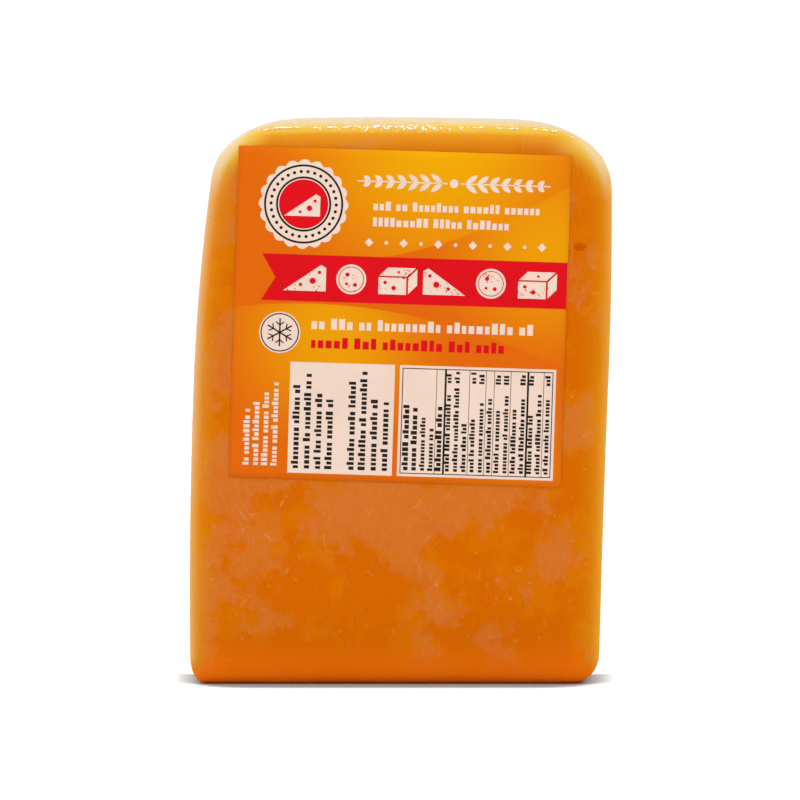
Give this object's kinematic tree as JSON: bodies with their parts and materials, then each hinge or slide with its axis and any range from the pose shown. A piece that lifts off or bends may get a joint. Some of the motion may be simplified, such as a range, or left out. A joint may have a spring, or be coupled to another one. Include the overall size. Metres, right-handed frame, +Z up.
{
  "type": "cheddar block",
  "caption": "Upright rectangular block of orange cheddar in tight clear vacuum film, top corners rounded, with a square printed paper label on its front.",
  "frame": {"origin": "middle of the object's box, on the surface that the block stands on", "axes": "+Z up along the block's height, +X to the right seen from the front, -Y out of the labelled front"},
  "size_m": [0.1426, 0.0842, 0.188],
  "materials": {
    "wrapped_cheddar": "orange cheddar seen through tight clear film",
    "cheddar": "satin pressed cheese, mottled deep orange and pinkish tan",
    "film": "clear glossy vacuum film",
    "label": "printed paper, satin, orange shading to amber"
  },
  "bodies": {
    "root": {"wrapped_block": "wrapped_cheddar", "label": "label"}
  },
  "joints": []
}
